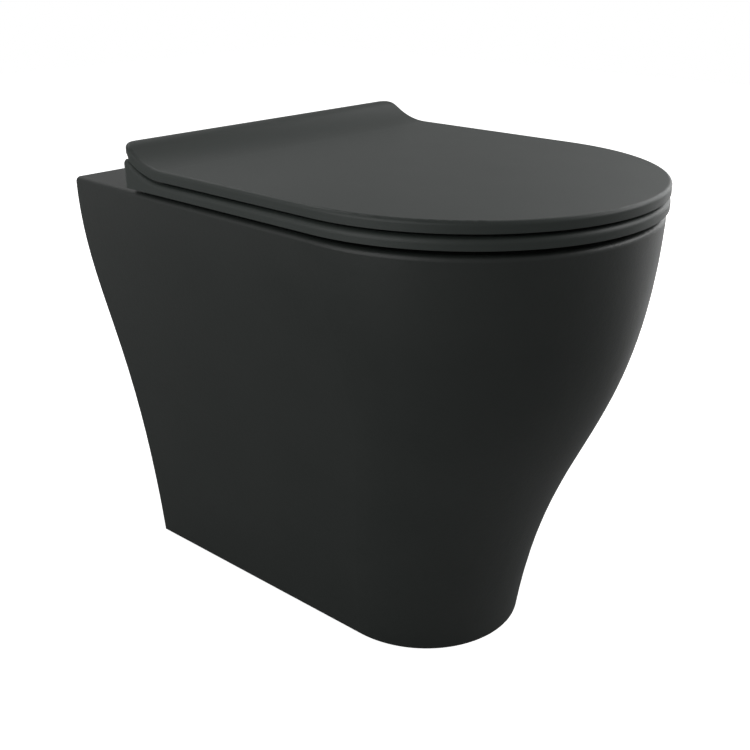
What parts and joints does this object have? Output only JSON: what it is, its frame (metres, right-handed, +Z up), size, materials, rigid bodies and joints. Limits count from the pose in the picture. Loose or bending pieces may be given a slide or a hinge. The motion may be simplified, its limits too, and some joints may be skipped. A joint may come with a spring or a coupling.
{
  "type": "toilet pan",
  "caption": "Floor-standing back-to-wall toilet pan in matte black ceramic with a slim wrap-over soft-close seat and lid on quick-release hinges.",
  "frame": {"origin": "on the floor, at the wall, on the centre line of the pan", "axes": "+Z up, +Y into the wall (the pan looks along -Y), +X to the right of someone who faces the wall"},
  "size_m": [0.352, 0.4983, 0.455],
  "materials": {
    "pan_ceramic": "matte black glaze",
    "seat_duroplast": "matte black moulded",
    "buffer_rubber": "soft grey-black",
    "bearing_plastic": "natural",
    "hinge_plastic": "fine grain",
    "button_plastic": "fine grain",
    "hinge_steel": "turned and brushed",
    "zinc_steel": "zinc plated",
    "nut_brass": "turned"
  },
  "bodies": {
    "root": {"pan": "pan_ceramic", "damper_tube_left": "bearing_plastic", "damper_tube_right": "bearing_plastic", "hinge_block_left": "hinge_plastic", "hinge_block_right": "hinge_plastic", "hinge_post_left": "hinge_steel", "hinge_post_right": "hinge_steel", "hinge_discs": "hinge_steel", "button_spring_left": "hinge_steel", "button_spring_right": "hinge_steel", "hinge_gaskets": "buffer_rubber", "expansion_bushes": "buffer_rubber", "hinge_nuts": "nut_brass", "floor_bracket_left": "zinc_steel", "floor_bracket_right": "zinc_steel", "bracket_bolts": "zinc_steel", "bracket_washers": "zinc_steel", "bracket_nuts": "zinc_steel"},
    "seat": {"seat_ring": "seat_duroplast", "seat_buffers": "buffer_rubber", "seat_bush": "bearing_plastic", "damper_rotor_right": "bearing_plastic"},
    "lid": {"lid": "seat_duroplast", "lid_buffers": "buffer_rubber", "lid_bush": "bearing_plastic", "damper_rotor_left": "bearing_plastic"},
    "button_left": {"release_button_left": "button_plastic"},
    "button_right": {"release_button_right": "button_plastic"}
  },
  "joints": [
    {"name": "seat_hinge", "type": "hinge", "parent": "root", "child": "seat", "pos_m": [0, -0.091, 0.44], "axis": [-1, 0, 0], "range_deg": [0, 95]},
    {"name": "lid_hinge", "type": "hinge", "parent": "seat", "child": "lid", "pos_m": [0, -0.091, 0.44], "axis": [-1, 0, 0], "range_deg": [0, 95]},
    {"name": "button_left_press", "type": "slide", "parent": "root", "child": "button_left", "axis": [-1, 0, 0], "range_m": [0, 0.003], "stiffness_N_per_m": 800, "springref_m": -0.002, "deforming": ["button_spring_left"]},
    {"name": "button_right_press", "type": "slide", "parent": "root", "child": "button_right", "axis": [1, 0, 0], "range_m": [0, 0.003], "stiffness_N_per_m": 800, "springref_m": -0.002, "deforming": ["button_spring_right"]}
  ]
}
